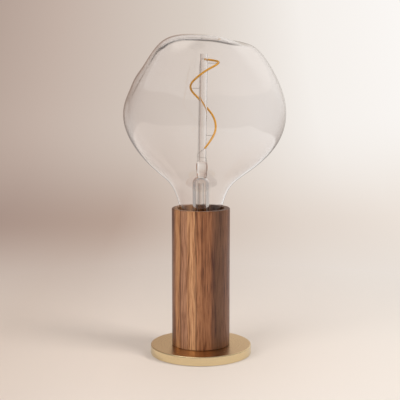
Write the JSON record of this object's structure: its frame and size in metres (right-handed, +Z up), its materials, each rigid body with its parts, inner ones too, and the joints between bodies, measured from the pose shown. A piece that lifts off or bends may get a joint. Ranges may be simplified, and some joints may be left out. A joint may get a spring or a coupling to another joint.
{
  "type": "bare bulb table lamp",
  "caption": "Table lamp with a solid brass disc base, a walnut column and a large dimpled clear glass bulb with a winding amber filament.",
  "frame": {"origin": "centre of the base pad's underside, on the surface the lamp stands on", "axes": "+Z up along the column, -Y to the front, +X to the right seen from the front; the cord inlet is at the back, on +Y"},
  "size_m": [0.1907, 0.1936, 0.3778],
  "materials": {
    "brushed_brass": "fine turned and satin brushed",
    "walnut_oiled": "straight grain, oiled, satin",
    "foam_rubber": "closed-cell, matt",
    "black_rubber": "moulded, matt",
    "clear_glass": "blown, fire polished",
    "mount_glass": "drawn tube, pressed pinch",
    "led_phosphor": "amber phosphor silicone, unlit",
    "nickel_wire": "drawn nickel wire",
    "nickel_plate": "nickel plated, bright",
    "black_glass": "black insulating glass",
    "cement": "baked basing cement",
    "circuit_board": "glass epoxy with solder mask",
    "board_parts": "moulded component bodies",
    "lampholder_plastic": "moulded thermoset",
    "steatite": "unglazed steatite",
    "spring_brass": "rolled spring strip",
    "zinc_steel": "zinc plated",
    "white_plastic": "moulded, fine matt",
    "brown_lead": "extruded silicone insulation",
    "blue_lead": "extruded silicone insulation",
    "white_lead": "extruded silicone insulation"
  },
  "bodies": {
    "lamp_base": {"base_disc": "brushed_brass", "base_pad": "foam_rubber", "wood_column": "walnut_oiled", "column_screws": "zinc_steel", "cord_grommet": "black_rubber", "dimmer_case": "white_plastic", "dimmer_lid": "white_plastic", "dimmer_board": "circuit_board", "dimmer_parts": "board_parts", "case_screws": "zinc_steel", "supply_terminal_block": "white_plastic", "ring_terminal": "nickel_plate", "touch_screw": "zinc_steel", "touch_lead": "white_lead", "live_lead": "brown_lead", "neutral_lead": "blue_lead", "threaded_nipple": "zinc_steel", "nipple_nut": "zinc_steel", "nipple_washer": "zinc_steel", "lampholder_dome": "lampholder_plastic", "lampholder_core": "steatite", "lampholder_sleeve": "lampholder_plastic", "centre_contact": "spring_brass", "side_contact": "spring_brass", "terminal_screws": "zinc_steel"},
    "bulb_travel": {"cap_tip_contact": "nickel_plate"},
    "bulb": {"glass_envelope": "clear_glass", "flare_tube": "mount_glass", "exhaust_tube": "mount_glass", "support_rod": "mount_glass", "led_filament": "led_phosphor", "filament_end_caps": "nickel_wire", "support_wires": "nickel_wire", "lead_wires": "nickel_wire", "cap_shell": "nickel_plate", "cap_insulator": "black_glass", "driver_board": "circuit_board", "driver_parts": "board_parts", "basing_cement": "cement"}
  },
  "joints": [
    {"name": "bulb_lift", "type": "slide", "parent": "lamp_base", "child": "bulb_travel", "axis": [0, 0, 1], "range_m": [0, 0.01462]},
    {"name": "bulb_turn", "type": "hinge", "parent": "bulb_travel", "child": "bulb", "pos_m": [0, 0, 0.11], "axis": [0, 0, 1], "range_deg": [0, 1440]}
  ],
  "couplings": [
    {"joint": "bulb_lift", "follows": "bulb_turn", "m_per_rad": 0.00057757}
  ]
}
